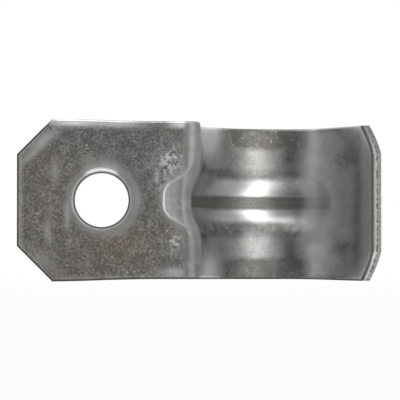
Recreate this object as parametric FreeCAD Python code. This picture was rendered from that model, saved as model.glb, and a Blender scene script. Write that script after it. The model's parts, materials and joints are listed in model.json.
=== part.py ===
import FreeCAD, Part
import math
import os

from FreeCAD import Vector

# One-hole strap for rigid conduit: one pressed steel sheet. Millimetres and degrees.
#
# +Z runs along the conduit and across the strap's width. The origin is on the
# conduit's axis, half-way across the width. +Y points away from the wall and
# the tab lies on the wall towards -X.

# Sheet
sheet_thickness = 1.3
strap_width = 19.05
edge_roll = 0.35  # rounding that the punch leaves along the outline of the inside face

# Saddle round the conduit
seat_radius = 10.35
pinch = 0.4  # how far the saddle is short of the wall, so that the screw clamps it
saddle_past_crown = 80.0  # degrees of saddle beyond the crown, up to the hook's end

# Tab and its screw hole
tab_length = 21.45  # from the saddle's leg to the tab's free end
bend_inside_radius = 0.3
hole_diameter = 6.3
hole_inset = 9.9  # from the tab's free end to the hole's centre
hole_break = 0.35  # 45 degree lead-in at the hole's mouth, on the inside face

# Clipped corners
tab_clip = 4.15
hook_clip = 3.6

# Stiffening rib, pressed outwards through the bend and over the crown
rib_depth = 1.1
rib_base_width = 7.8
rib_crest_width = 1.1
rib_flank_turn = 150.0  # degrees of a cosine on each flank; 180 would leave no crease at the foot
rib_run_in = 4.3  # from the saddle's leg to where the rib starts in the tab
rib_nose_slope = 38.0  # how steeply the rib's end drops off the tab's face
rib_nose_radius = 2.4  # rounding of that end, seen from the strap's edge
rib_slope = 14.0  # how steeply the crest sinks on towards the bend
rib_bend_radius = 1.7
rib_past_crown = 10.0  # degrees of full depth beyond the crown
rib_run_out_radius = 5.2

# Long edges drawn in by the pressing of the rib
draw_in = 0.29
hook_draw_in = 0.05

# Values that follow from the sizes above
wall_y = pinch - seat_radius
bend_radius = bend_inside_radius + sheet_thickness
free_end_x = -seat_radius - tab_length
hook_angle = 90.0 - saddle_past_crown
half_width = strap_width / 2
over = 2.0  # how far cutting tools reach past what they cut
rib_foot_margin = 0.5  # how far the rib's tool reaches below its foot
rib_end_margin = 20.0  # degrees that the rib's tool runs on past each of its ends
same_place = 0.001  # distance within which a point counts as lying on the inside face


def on_circle(centre, radius, degrees):
    angle = math.radians(degrees)
    return centre + Vector(radius * math.cos(angle), radius * math.sin(angle), 0)


def arc(centre, radius, start, end):
    middle = on_circle(centre, radius, (start + end) / 2)
    return Part.Arc(on_circle(centre, radius, start), middle, on_circle(centre, radius, end)).toShape()


def sheet_line(offset, run_on):
    """Path along the inside face, moved outwards by offset and lengthened at both ends."""
    bend_centre = Vector(-seat_radius - bend_radius, wall_y + bend_radius, 0)
    radius = bend_radius - offset
    start = Vector(free_end_x - run_on, wall_y + offset, 0)
    leg_x = -seat_radius - offset
    end_angle = hook_angle - math.degrees(run_on / seat_radius)
    return [
        Part.makeLine(start, on_circle(bend_centre, radius, -90)),
        arc(bend_centre, radius, -90, 0),
        Part.makeLine(Vector(leg_x, bend_centre.y, 0), Vector(leg_x, 0, 0)),
        arc(Vector(), seat_radius + offset, 180, end_angle),
    ]


def band(inner_offset, outer_offset, width, run_on=0.0):
    """Solid between two lines parallel to the inside face."""
    inner = sheet_line(inner_offset, run_on)
    outer = sheet_line(outer_offset, run_on)
    first = Part.makeLine(inner[0].Vertexes[0].Point, outer[0].Vertexes[0].Point)
    last = Part.makeLine(inner[-1].Vertexes[-1].Point, outer[-1].Vertexes[-1].Point)
    wire = Part.Wire(Part.__sortEdges__(inner + outer + [first, last]))
    face = Part.Face(wire)
    face.translate(Vector(0, 0, -width / 2))
    return face.extrude(Vector(0, 0, width))


def rib_flank():
    """Points down one flank of the rib, from the crest's edge to its foot and on past it."""
    crest = rib_crest_width / 2
    reach = rib_base_width / 2 - crest
    turn = math.radians(rib_flank_turn)
    span = 1 - math.cos(turn)
    steps = 5
    points = []
    for step in range(steps + 1):
        share = step / steps
        drop = rib_depth * (1 - math.cos(turn * share)) / span
        points.append(Vector(0, -drop, crest + reach * share))
    slope = rib_depth * turn * math.sin(turn) / (span * reach)
    below = rib_foot_margin
    past = points[-1] + Vector(0, -below, below / slope)
    return points, past


def rib_section():
    """Closed section of the rib's tool: crest at the origin, pointing to +Y."""
    points, past = rib_flank()
    mirrored = [Vector(0, point.y, -point.z) for point in reversed(points)]
    past_mirrored = Vector(0, past.y, -past.z)
    flank = Part.BSplineCurve()
    flank.interpolate(points)
    other_flank = Part.BSplineCurve()
    other_flank.interpolate(mirrored)
    return Part.Wire([
        other_flank.toShape(),
        Part.makeLine(mirrored[-1], points[0]),
        flank.toShape(),
        Part.makeLine(points[-1], past),
        Part.makeLine(past, past_mirrored),
        Part.makeLine(past_mirrored, mirrored[0]),
    ])


def crest_path(lift):
    """Line of the rib's crest: the groove's floor for no lift, the raised back for a sheet's lift."""
    crest_radius = seat_radius + rib_depth
    foot = Vector(-seat_radius - rib_run_in, wall_y, 0)
    nose_centre = on_circle(foot, rib_nose_radius, rib_nose_slope - 90)
    nose_start = 90 + rib_nose_slope + rib_end_margin
    nose_end = on_circle(nose_centre, rib_nose_radius, 90 + rib_slope)
    slope = math.radians(rib_slope)
    bend_x = -crest_radius - rib_bend_radius
    rise = (rib_bend_radius + (bend_x - nose_end.x) * math.sin(slope)) / math.cos(slope)
    bend_centre = Vector(bend_x, nose_end.y + rise, 0)
    bend_start = on_circle(bend_centre, rib_bend_radius - lift, rib_slope - 90)
    leg_x = -crest_radius - lift
    last_full = 90 - rib_past_crown
    back_off = crest_radius - rib_run_out_radius
    out_centre = on_circle(Vector(), back_off, last_full)
    across = seat_radius ** 2 - back_off ** 2 - rib_run_out_radius ** 2
    sweep = math.degrees(math.acos(across / (2 * back_off * rib_run_out_radius)))
    return Part.Wire([
        arc(nose_centre, rib_nose_radius + lift, nose_start, 90 + rib_slope),
        Part.makeLine(on_circle(nose_centre, rib_nose_radius + lift, 90 + rib_slope), bend_start),
        arc(bend_centre, rib_bend_radius - lift, rib_slope - 90, 0),
        Part.makeLine(Vector(leg_x, bend_centre.y, 0), Vector(leg_x, 0, 0)),
        arc(Vector(), crest_radius + lift, 180, last_full),
        arc(out_centre, rib_run_out_radius + lift, last_full, last_full - sweep - rib_end_margin),
    ])


def rib_tool(lift):
    """The rib's section swept along its crest."""
    path = crest_path(lift)
    section = rib_section()
    section.rotate(Vector(), Vector(0, 0, 1), rib_nose_slope + rib_end_margin)
    section.translate(path.Vertexes[0].Point)
    return path.makePipeShell([section], True, False)


def ease(start, end):
    """Two equal tangent arcs that step from one level line to another, in the XZ plane."""
    middle = (start + end) / 2
    quarter = (end.x - start.x) / 4
    bow = (end.z - start.z) / 8
    first = Part.Arc(start, Vector(start.x + quarter, 0, start.z + bow), middle)
    second = Part.Arc(middle, Vector(end.x - quarter, 0, end.z - bow), end)
    return [first.toShape(), second.toShape()]


def edge_trim():
    """What is cut off past the upper long edge, which the rib draws in."""
    drawn = half_width - draw_in
    right = seat_radius + sheet_thickness
    hook_top = Vector(right, 0, half_width - hook_draw_in)
    tab_start = Vector(free_end_x + tab_clip / 2, 0, half_width)
    tab_end = Vector(-seat_radius - rib_run_in, 0, drawn)
    crown = Vector(0, 0, drawn)
    outer = Vector(right + over, 0, hook_top.z)
    above = Vector(0, 0, half_width + over)
    back = Part.makePolygon([
        hook_top,
        outer,
        Vector(outer.x, 0, above.z),
        Vector(tab_start.x, 0, above.z),
        tab_start,
    ])
    edges = ease(tab_start, tab_end) + [Part.makeLine(tab_end, crown)] + ease(crown, hook_top)
    face = Part.Face(Part.Wire(edges + back.Edges))
    reach = right + rib_depth + over
    face.translate(Vector(0, -reach, 0))
    return face.extrude(Vector(0, 2 * reach, 0))


def tab_corner():
    """Wedge that clips the tab's upper corner at 45 degrees."""
    corner = Vector(free_end_x, wall_y - over, half_width)
    wedge = Part.makePolygon([
        corner + Vector(tab_clip + over, 0, over),
        corner + Vector(-over, 0, over),
        corner + Vector(-over, 0, -tab_clip - over),
        corner + Vector(tab_clip + over, 0, over),
    ])
    return Part.Face(wedge).extrude(Vector(0, sheet_thickness + 2 * over, 0))


def hook_corner():
    """Wedge that clips the hook's upper corner at 45 degrees, square to the curved sheet."""
    middle_radius = seat_radius + sheet_thickness / 2
    inside = seat_radius - over
    outside = seat_radius + sheet_thickness + over
    top = half_width + 2 * over
    sections = []
    for travel in (-over, hook_clip / 3, 2 * hook_clip / 3, hook_clip + over):
        angle = hook_angle + math.degrees(travel / middle_radius)
        low = half_width - hook_clip + travel
        near = on_circle(Vector(), inside, angle)
        far = on_circle(Vector(), outside, angle)
        lift = Vector(0, 0, low)
        rise = Vector(0, 0, top)
        sections.append(Part.makePolygon([near + lift, far + lift, far + rise, near + rise, near + lift]))
    return Part.makeLoft(sections, True)


def pressed_sheet():
    """The bent sheet with its rib, at full width and without holes."""
    backed = band(-over, sheet_thickness, strap_width)
    raised = backed.fuse(rib_tool(sheet_thickness))
    inner_space = band(-2 * over, 0, strap_width + 2 * over, over)
    return raised.cut([inner_space, rib_tool(0)])


def screw_hole():
    """The hole through the tab with its broken mouth."""
    centre = Vector(free_end_x + hole_inset, wall_y - over, 0)
    outwards = Vector(0, 1, 0)
    radius = hole_diameter / 2
    mouth_depth = over + hole_break
    bore = Part.makeCylinder(radius, sheet_thickness + 2 * over, centre, outwards)
    mouth = Part.makeCone(radius + mouth_depth, radius, mouth_depth, centre, outwards)
    return bore.fuse(mouth)


def lower_side():
    """Everything below the strap's middle plane."""
    reach = 2 * (tab_length + 2 * seat_radius)
    return Part.makeBox(2 * reach, 2 * reach, strap_width, Vector(-reach, -reach, -strap_width))


def upper_half():
    sheet = pressed_sheet()
    return sheet.cut([screw_hole(), edge_trim(), tab_corner(), hook_corner(), lower_side()])


def sheared_edges(solid):
    """Square edges of the inside face along the strap's outline."""
    inside = Part.Wire(sheet_line(0, 0))
    found = []
    for edge in solid.Edges:
        middle = edge.valueAt((edge.FirstParameter + edge.LastParameter) / 2)
        level = Part.Vertex(middle.x, middle.y, 0)
        if inside.distToShape(level)[0] > same_place:
            continue
        faces = solid.ancestorsOfType(edge, Part.Face)
        normals = [face.normalAt(*face.Surface.parameter(middle)) for face in faces]
        if abs(normals[0].dot(normals[-1])) < 0.5:
            found.append(edge)
    return found


def strap():
    """Both halves of the strap, joined in the middle plane, with the outline's edges rolled."""
    half = upper_half()
    whole = half.fuse(half.mirror(Vector(), Vector(0, 0, 1))).Solids[0]
    return whole.makeFillet(edge_roll, sheared_edges(whole))


os.makedirs("parts", exist_ok=True)
result = strap()
print("valid", result.isValid(), "solids", len(result.Solids), "faces", len(result.Faces))
print("volume mm3", round(result.Volume, 2))
print("box", result.BoundBox)
result.Solids[0].exportStep("parts/strap.step")
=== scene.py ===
# %% [markdown]
# # A one-hole conduit strap in pressed, zinc-plated steel
#
# The real part is one piece of 1.3 mm sheet. A press punched the outline and the screw hole, bent the
# tab away from the saddle, rolled the saddle round the conduit and pushed a stiffening rib through
# the bend. The packed CAD model is loaded first. Every place on the strap is worked out from its box,
# its mounts and a few sizes, so the dressed part fits the solid with no moving or scaling.

# %% Load the frame
import json
import math

import bmesh
import bpy
import numpy as np
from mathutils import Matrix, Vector


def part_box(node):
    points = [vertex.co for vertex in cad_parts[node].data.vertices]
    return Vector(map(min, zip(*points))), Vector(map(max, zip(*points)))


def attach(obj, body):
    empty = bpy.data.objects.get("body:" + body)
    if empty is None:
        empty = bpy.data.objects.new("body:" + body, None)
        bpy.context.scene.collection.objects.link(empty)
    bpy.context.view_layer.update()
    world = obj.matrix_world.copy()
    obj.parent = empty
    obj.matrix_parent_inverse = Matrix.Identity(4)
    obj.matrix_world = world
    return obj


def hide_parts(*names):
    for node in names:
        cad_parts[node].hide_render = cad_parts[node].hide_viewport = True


METRE = 0.001  # one millimetre in metres

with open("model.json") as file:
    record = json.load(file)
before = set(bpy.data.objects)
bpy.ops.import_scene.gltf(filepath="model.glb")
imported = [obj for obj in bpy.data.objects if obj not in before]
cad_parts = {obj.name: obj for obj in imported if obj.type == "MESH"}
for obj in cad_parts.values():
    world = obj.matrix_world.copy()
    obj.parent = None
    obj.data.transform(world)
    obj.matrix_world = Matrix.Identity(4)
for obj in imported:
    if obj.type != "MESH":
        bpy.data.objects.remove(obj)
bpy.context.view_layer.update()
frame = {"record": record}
mounts = {mount["name"]: mount for mount in frame["record"]["mounts"]}
low, high = [np.array(corner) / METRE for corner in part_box("strap")]
print("CAD box, mm:", low.round(3), high.round(3))

# %% [markdown]
# ## Sizes
#
# The working unit below is the millimetre, and the mesh is brought to metres when it is made. What
# the mounts already know, such as the seat's radius and the wall, is read from them. Only what they
# don't know is stated, with the same values as in the solid.

# %% Sizes of the sheet, in millimetres
SEAT = mounts["conduit_seat"]["dims"]["r_mm"]
WALL_Y = mounts["wall_face"]["pos_m"][1] / METRE
FREE_X = low[0]
THICK = 1.3
BEND_INSIDE = 0.3
BEND = BEND_INSIDE + THICK
HOOK_ANGLE = math.radians(10)
print("sheet", THICK, "seat radius", SEAT, "wall at y", round(WALL_Y, 3))

# %% [markdown]
# ## The sheet as a distance
#
# A pressed sheet has two faces that keep one distance from each other. Instead of drawing each face,
# one function says how far a point lies outwards from the inside line of the strap. The inside face
# is where that distance is zero, and the outside face is where it is one thickness. The line runs
# flat along the tab, round the bend, straight up the leg and round the seat.

# %% Distance from the inside line
BEND_CENTRE = np.array([-SEAT - BEND, WALL_Y + BEND])


def from_line(x, y):
    """Distance outwards from the inside line: y minus the wall on the tab, the bend's radius minus
    the distance to its centre in the bend, minus x minus the seat radius on the leg, and the distance
    to the conduit's axis minus the seat radius on the saddle."""
    tab = y - WALL_Y
    leg = -SEAT - x
    bend = BEND - np.hypot(x - BEND_CENTRE[0], y - BEND_CENTRE[1])
    saddle = np.hypot(x, y) - SEAT
    left, above = x < BEND_CENTRE[0], y > BEND_CENTRE[1]
    corner = np.where(left & above, np.minimum(tab, leg), bend)
    flat = np.where(left & ~above, tab, np.where(~left & above, leg, corner))
    return np.where(y >= 0, saddle, flat)


print("the conduit's axis lies inside the line by", -float(from_line(0.0, 0.0)))

# %% [markdown]
# ## The rib
#
# The rib is one punch section pushed along a line. Its rounded nose drops off the tab's face, then it
# slopes on to the bend, turns up the leg, follows the saddle to just past the crown and runs out on a
# tighter arc. It could be sculpted, but the sheet has to keep its thickness through the rib. So the
# same kind of distance is taken from the line of its crest, and the section falls away from a flat
# crest as part of a cosine.

# %% Sizes of the rib, in millimetres
RIB_DEPTH = high[1] - SEAT - THICK
RIB_BASE, RIB_CREST = 7.8, 1.1  # widths of its foot and of its flat crest
RIB_TURN = math.radians(150)  # how far round the cosine a flank goes
RIB_RUN_IN = 4.3
RIB_NOSE_SLOPE, RIB_NOSE = math.radians(38), 2.4
RIB_SLOPE = math.radians(14)
RIB_BEND = 1.7
RIB_FULL_TO = math.radians(80)
RIB_RUN_OUT = 5.2
print("rib depth", round(RIB_DEPTH, 3), "width", RIB_BASE)

# %% Distance from the rib's crest
CREST = SEAT + RIB_DEPTH
RIB_FOOT = np.array([-SEAT - RIB_RUN_IN, WALL_Y])
FORWARD = np.array([math.cos(RIB_SLOPE), math.sin(RIB_SLOPE)])
OUTWARD = np.array([-FORWARD[1], FORWARD[0]])
NOSE_CENTRE = RIB_FOOT + RIB_NOSE * np.array([math.sin(RIB_NOSE_SLOPE), -math.cos(RIB_NOSE_SLOPE)])
NOSE_END = NOSE_CENTRE + RIB_NOSE * OUTWARD
TURN_X = -CREST - RIB_BEND
TURN_RISE = (RIB_BEND + (TURN_X - NOSE_END[0]) * FORWARD[1]) / FORWARD[0]
TURN = np.array([TURN_X, NOSE_END[1] + TURN_RISE])
RUN_OUT_CENTRE = (CREST - RIB_RUN_OUT) * np.array([math.cos(RIB_FULL_TO), math.sin(RIB_FULL_TO)])


def from_crest(x, y):
    """Distance outwards from the crest's line: from its rounded nose, its slope in the tab, its turn,
    its straight leg, its arc over the crown, and its smaller arc where it runs out."""
    floor = (x - NOSE_END[0]) * OUTWARD[0] + (y - NOSE_END[1]) * OUTWARD[1]
    nose = np.hypot(x - NOSE_CENTRE[0], y - NOSE_CENTRE[1]) - RIB_NOSE
    in_nose = (x - NOSE_END[0]) * FORWARD[0] + (y - NOSE_END[1]) * FORWARD[1] < 0
    slope = np.where(in_nose, nose, floor)
    turn = RIB_BEND - np.hypot(x - TURN[0], y - TURN[1])
    leg = -CREST - x
    before = (x - TURN[0]) * FORWARD[0] + (y - TURN[1]) * FORWARD[1] < 0
    above = y > TURN[1]
    corner = np.where(before & above, np.minimum(slope, leg), turn)
    lower = np.where(before & ~above, slope, np.where(~before & above, leg, corner))
    saddle = np.hypot(x, y) - CREST
    run_out = np.hypot(x - RUN_OUT_CENTRE[0], y - RUN_OUT_CENTRE[1]) - RIB_RUN_OUT
    upper = np.where(np.arctan2(y, x) > RIB_FULL_TO, saddle, run_out)
    return np.where(y >= 0, upper, lower)


print("the rib turns up the leg round", TURN.round(3))


# %% The rib's section, and the sheet with its rib
BLEND = 0.16  # width over which the rib runs into the sheet


def rib_drop(z):
    """How far the section lies below its crest: nothing on the flat, then one minus a cosine down the
    flank, then a straight slope."""
    crest, foot = RIB_CREST / 2, RIB_BASE / 2
    share = np.clip((np.abs(z) - crest) / (foot - crest), 0, None)
    span = 1 - math.cos(RIB_TURN)
    curved = RIB_DEPTH * (1 - np.cos(RIB_TURN * np.minimum(share, 1))) / span
    slope = RIB_DEPTH * RIB_TURN * math.sin(RIB_TURN) / span
    return curved + slope * np.maximum(share - 1, 0)


def sheet_level(x, y, z):
    """Distance outwards from the inside face, rib included: the smaller of the two distances, with
    their meeting rounded by a quadratic step BLEND wide."""
    plain = from_line(x, y)
    ribbed = from_crest(x, y) + rib_drop(z)
    near = np.clip(BLEND - np.abs(plain - ribbed), 0, None) / BLEND
    return np.minimum(plain, ribbed) - near * near * BLEND / 4


print("depth of the groove at the crown:", round(-float(sheet_level(0.0, SEAT, 0.0)), 3))

# %% [markdown]
# ## From a flat blank to the bent sheet
#
# A point of the blank has two coordinates: the length along the inside line and the place across the
# width. Each length has a ray that leaves the inside line outwards. Round the bend the rays fan about
# one point beyond the metal, so that they never cross inside it. Halving the interval along each ray
# finds where the distance reaches the wanted level.

# %% Rays along the strap
U_FAN = TURN[0] - FREE_X
U_CURVE = BEND_CENTRE[0] - FREE_X
U_LEG = U_CURVE + BEND * math.pi / 2
U_STRAIGHT = U_LEG + TURN[1] - BEND_CENTRE[1]
U_SEAT = U_LEG - BEND_CENTRE[1]
U_END = U_SEAT + SEAT * (math.pi - HOOK_ANGLE)


def ray(u):
    """Start on the inside line and direction outwards, for a length u from the tab's free end."""
    turn = np.clip((u - U_CURVE) / BEND, 0, math.pi / 2)
    around = math.pi - np.clip((u - U_SEAT) / SEAT, 0, None)
    on_bend = BEND_CENTRE[:, None] + BEND * np.stack([np.sin(turn), -np.cos(turn)])
    on_tab = np.stack([FREE_X + u, np.full_like(u, WALL_Y)])
    on_leg = np.stack([np.full_like(u, -SEAT), BEND_CENTRE[1] + u - U_LEG])
    on_seat = SEAT * np.stack([np.cos(around), np.sin(around)])
    start = np.select([u < U_CURVE, u < U_LEG, u < U_SEAT], [on_tab, on_bend, on_leg], on_seat)
    fan = TURN[:, None] - start
    fan = fan / np.hypot(fan[0], fan[1])
    up = np.stack([np.zeros_like(u), np.ones_like(u)])
    left = np.stack([-np.ones_like(u), np.zeros_like(u)])
    way = np.select([u < U_FAN, u < U_STRAIGHT, u < U_SEAT], [up, fan, left], on_seat / SEAT)
    return start, way


print("length of the blank along its inside:", round(U_END, 2))

# %% Points of the sheet
HALVINGS = 40


def on_sheet(u, z, level):
    """Points of the strap, in millimetres, at a level between the inside face, 0, and the outside
    face, THICK. The distance along each ray is found by halving an interval HALVINGS times."""
    start, way = ray(u)
    near = np.zeros_like(u)
    to_turn = np.hypot(TURN[0] - start[0], TURN[1] - start[1])
    far = np.where((u > U_FAN) & (u < U_STRAIGHT), to_turn, 2 * THICK)
    for _ in range(HALVINGS):
        middle = (near + far) / 2
        place = start + way * middle
        short = sheet_level(place[0], place[1], z) < level
        near = np.where(short, middle, near)
        far = np.where(short, far, middle)
    place = start + way * far
    return np.stack([place[0], place[1], z], axis=-1)


crown = on_sheet(np.full(1, U_SEAT + SEAT * math.pi / 2), np.zeros(1), np.full(1, THICK))[0]
print("outside of the rib at the crown:", crown.round(3))

# %% [markdown]
# ## The outline of the blank
#
# The blank is a strip whose long edges draw in where the rib pulls metal, with clipped corners at
# both ends. Punching rolls the edge of the face that the punch meets, which is the inside face here,
# and leaves a square, slightly torn corner on the other face. A Bevel modifier rounds both sides
# alike, so here each face has its own rule for how its level changes near the outline.

# %% Half width of the blank
HALF_STRIP = 19.05 / 2
TAB_CLIP, HOOK_CLIP = 4.15, 3.6
DRAW_IN, HOOK_DRAW_IN = 0.29, 0.05
MIDDLE_RADIUS = SEAT + THICK / 2


def eased(x, start, end):
    """From 0 at start to 1 at end along two equal parabolas."""
    share = np.clip((x - start) / (end - start), 0, 1)
    return np.where(share < 0.5, 2 * share**2, 1 - 2 * (1 - share) ** 2)


def trimmed(u):
    """Half width of the strip before its corners are clipped."""
    x = ray(u)[0][0]
    drawn = DRAW_IN * eased(x, FREE_X + TAB_CLIP / 2, RIB_FOOT[0])
    relief = (DRAW_IN - HOOK_DRAW_IN) * eased(x, 0, SEAT + THICK) * (u > U_SEAT)
    return HALF_STRIP - drawn + relief


def hook_line(u):
    """Half width that the hook's clip leaves."""
    return HALF_STRIP - HOOK_CLIP + (U_END - u) * MIDDLE_RADIUS / SEAT


U_CLIP = U_END - HOOK_CLIP
for _ in range(20):  # closes in on where the clip meets the long edge
    here = np.array([U_CLIP])
    U_CLIP += float(hook_line(here)[0] - trimmed(here)[0])
print("hook's clip starts at", round(U_CLIP, 3))

# %% Rolled edge and torn edge
ROLL, BURR = 0.35, 0.04
EDGES = ROLL * (1 - np.cos(np.radians(np.arange(0, 91, 15))))  # rows across the roll


def rolled(edge):
    """Level of the inside face at a distance edge from the outline: a quarter circle of radius ROLL."""
    inside = np.clip(ROLL - edge, 0, ROLL)
    return ROLL - np.sqrt(ROLL**2 - inside**2)


def torn(edge):
    """Level of the outside face at a distance edge from the outline: a 45 degree break BURR wide."""
    return THICK - np.clip(BURR - edge, 0, BURR)


print("rows across a rolled edge:", len(EDGES), "levels:", rolled(EDGES).round(3))

# %% [markdown]
# ## Two patches of blank
#
# The saddle, the leg and the bend are a plain grid of lengths and widths. Its outer rows keep a fixed
# distance from the edge, so that the rolled edge stays even round the hook's clipped corners. The
# grid is finest round the bend. The tab is a second patch, because its hole needs rings: rows follow
# the outline inwards, and then each ring is a blend between the outline and the circle of the hole.

# %% The columns of the saddle's grid
U_JOIN = RIB_FOOT[0] - 1.5 - FREE_X  # where the two patches meet, just before the rib


def lengths():
    """Lengths of the columns, finest round the bend, and their distances from the hook's end."""
    spans = [
        (U_JOIN, U_FAN, 0.1),
        (U_FAN, U_STRAIGHT, 0.08),
        (U_STRAIGHT, U_SEAT, 0.25),
        (U_SEAT, U_CLIP, 0.22),
        (U_CLIP, U_END - ROLL, 0.2),
    ]
    parts = []
    for first, last, pitch in spans:
        count = max(2, round((last - first) / pitch))
        parts.append(np.linspace(first, last, count, endpoint=False))
    columns = np.concatenate(parts + [U_END - EDGES[::-1]])
    return columns, U_END - columns


print("columns:", len(lengths()[0]))

# %% The grid of the saddle
FAR = 9.0  # edge distance given to points that lie on no rolled edge
RIB_ROWS = RIB_BASE / 2 + 0.2  # half the width of the narrow level rows


def saddle_patch(beside=18, on_rib=64):
    """(u, z, edge) grids of the saddle: rows that follow the edge, wider rows beside the rib, and
    narrow level rows on it."""
    u, to_end = lengths()
    half = np.minimum(trimmed(u), hook_line(u))
    lean = np.where(hook_line(u) < trimmed(u), math.hypot(1, MIDDLE_RADIUS / SEAT), 1.0)
    upper = [half - edge * lean for edge in EDGES]
    shares = np.arange(1, beside) / beside
    upper += [(1 - share) * upper[len(EDGES) - 1] + share * RIB_ROWS for share in shares]
    level = [np.full_like(u, z) for z in np.linspace(RIB_ROWS, -RIB_ROWS, on_rib + 1)]
    rows = upper + level + [-row for row in reversed(upper)]
    from_side = np.concatenate([EDGES, np.full(len(rows) - 2 * len(EDGES), FAR), EDGES[::-1]])
    edge = np.minimum(from_side[:, None], to_end[None, :])
    return np.broadcast_to(u, edge.shape), np.array(rows), edge


saddle = saddle_patch()
print("saddle grid:", saddle[0].shape)


# %% The rows that follow the tab's outline
def tab_path(edge, along=64, clip=24, free=46):
    """Open path round the tab, edge away from its outline, from the join's top to its bottom."""
    side = float(trimmed(np.array([TAB_CLIP]))[0])
    corner_u = TAB_CLIP - HALF_STRIP + side + (math.sqrt(2) - 1) * edge
    corner_z = HALF_STRIP - TAB_CLIP + edge - math.sqrt(2) * edge
    long_u = np.linspace(U_JOIN, corner_u, along, endpoint=False)
    long_z = trimmed(long_u) - edge
    clip_u = np.linspace(corner_u, edge, clip, endpoint=False)
    clip_z = np.linspace(side - edge, corner_z, clip, endpoint=False)
    free_z = np.linspace(corner_z, -corner_z, free, endpoint=False)
    u = np.concatenate([long_u, clip_u, np.full(free, edge)])
    z = np.concatenate([long_z, clip_z, free_z])
    back_u, back_z = u[: along + clip][::-1], -z[: along + clip][::-1]
    return np.concatenate([u, [edge], back_u]), np.concatenate([z, [-corner_z], back_z])


def rim_patch():
    """(u, z, edge) grids of the rows that follow the tab's outline."""
    paths = [tab_path(edge) for edge in EDGES]
    u = np.array([path[0] for path in paths])
    z = np.array([path[1] for path in paths])
    return u, z, np.broadcast_to(EDGES[:, None], u.shape)


rim = rim_patch()
print("tab rim:", rim[0].shape)

# %% The rings round the hole
HOLE_X = mounts["screw_hole"]["pos_m"][0] / METRE
HOLE = mounts["screw_hole"]["dims"]["r_mm"]
CROWDING = 1.3  # above 1, the rings stand closer together near the hole


def ring_patch(rings=26):
    """(u, z, edge) grids of closed rings from the hole's edge to the tab's rows and the join."""
    path_u, path_z = tab_path(ROLL)
    join_z = saddle[1][len(EDGES) - 1 : 1 - len(EDGES), 0][::-1][1:-1]
    loop_u = np.concatenate([path_u, np.full(len(join_z), U_JOIN)])
    loop_z = np.concatenate([path_z, join_z])
    hole_u = HOLE_X - FREE_X
    angle = np.arctan2(loop_z, loop_u - hole_u)
    radii = np.concatenate([HOLE + EDGES, np.full(rings, HOLE + ROLL)])
    out = np.concatenate([np.zeros(len(EDGES)), np.linspace(0, 1, rings + 1)[1:] ** CROWDING])
    u = (1 - out)[:, None] * (hole_u + radii[:, None] * np.cos(angle)) + out[:, None] * loop_u
    z = (1 - out)[:, None] * (radii[:, None] * np.sin(angle)) + out[:, None] * loop_z
    edge = np.concatenate([EDGES, np.full(rings, FAR)])
    return u, z, np.broadcast_to(edge[:, None], u.shape)


rings = ring_patch()
print("tab rings:", rings[0].shape)

# %% [markdown]
# ## One closed skin
#
# A Solidify modifier could give a single surface its thickness, but not its two kinds of edge. So
# each patch is laid on the inside face and again on the outside face, and strips of wall join them
# round the outline and through the hole. Points that coincide are merged, so the skin is one closed
# shell. Every vertex also keeps where it lies on the blank, how far it is from an edge and how deep
# it lies between the faces, because the finish needs to know.

# %% Grids of faces and the walls between the two faces
WALL_LEVELS = np.linspace(ROLL, THICK - BURR, 7)


def quads(shape, first, closed):
    """Vertex numbers of the quads of a grid whose vertices are counted row by row from first."""
    rows, columns = shape
    index = first + np.arange(rows * columns).reshape(shape)
    if closed:
        index = np.concatenate([index, index[:, :1]], axis=1)
    a, b, c, d = index[:-1, :-1], index[:-1, 1:], index[1:, 1:], index[1:, :-1]
    return np.stack([a, b, c, d], axis=-1).reshape(-1, 4)


def outline():
    """(u, z) loop round the whole blank: tab, lower long edge, hook's end, upper long edge."""
    tab_u, tab_z = tab_path(0.0)
    u, z, _ = saddle
    loop_u = np.concatenate([tab_u[:-1], u[-1], u[::-1, -1][1:-1], u[0][::-1][:-1]])
    loop_z = np.concatenate([tab_z[:-1], z[-1], z[::-1, -1][1:-1], z[0][::-1][:-1]])
    return loop_u, loop_z


patches = []
for grid_u, grid_z, grid_edge in (saddle, rim, rings):
    closed = grid_u is rings[0]
    patches.append((grid_u, grid_z, grid_edge, rolled(grid_edge), closed))
    patches.append((grid_u, grid_z, grid_edge, torn(grid_edge), closed))
for loop_u, loop_z in (outline(), (rings[0][0], rings[1][0])):
    shape = (len(WALL_LEVELS), len(loop_u))
    levels = np.broadcast_to(WALL_LEVELS[:, None], shape)
    wall_u, wall_z = np.broadcast_to(loop_u, shape), np.broadcast_to(loop_z, shape)
    patches.append((wall_u, wall_z, np.zeros(shape), levels, True))
print("patches:", len(patches))

# %% Build the mesh
KEYS_PER_MM = 2000  # points closer than half a thousandth of a millimetre are one


def lay(patches):
    """Vertices in millimetres, quads, and per vertex (u, z, edge, level) of all patches."""
    points, faces, notes = [], [], []
    first = 0
    for u, z, edge, level, closed in patches:
        flat = [np.ascontiguousarray(part).reshape(-1) for part in (u, z, edge, level)]
        points.append(on_sheet(flat[0], flat[1], flat[3]))
        notes.append(np.stack(flat, axis=-1))
        faces.append(quads(u.shape, first, closed))
        first += len(flat[0])
    return np.concatenate(points), np.concatenate(faces), np.concatenate(notes)


def merged(points, faces, notes):
    """The same mesh with coinciding vertices made one and faces without area left out."""
    key = np.round(points * KEYS_PER_MM).astype(np.int64)
    _, kept, where = np.unique(key, axis=0, return_index=True, return_inverse=True)
    faces = where.reshape(-1)[faces]
    ordered = np.sort(faces, axis=1)
    whole = (np.diff(ordered, axis=1) > 0).all(axis=1)
    return points[kept], faces[whole], notes[kept]


def make_mesh(name, points, faces):
    """A mesh object in metres from points in millimetres."""
    mesh = bpy.data.meshes.new(name)
    mesh.from_pydata((points * METRE).tolist(), [], faces.tolist())
    made = bpy.data.objects.new(name, mesh)
    bpy.context.scene.collection.objects.link(made)
    return made


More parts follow.
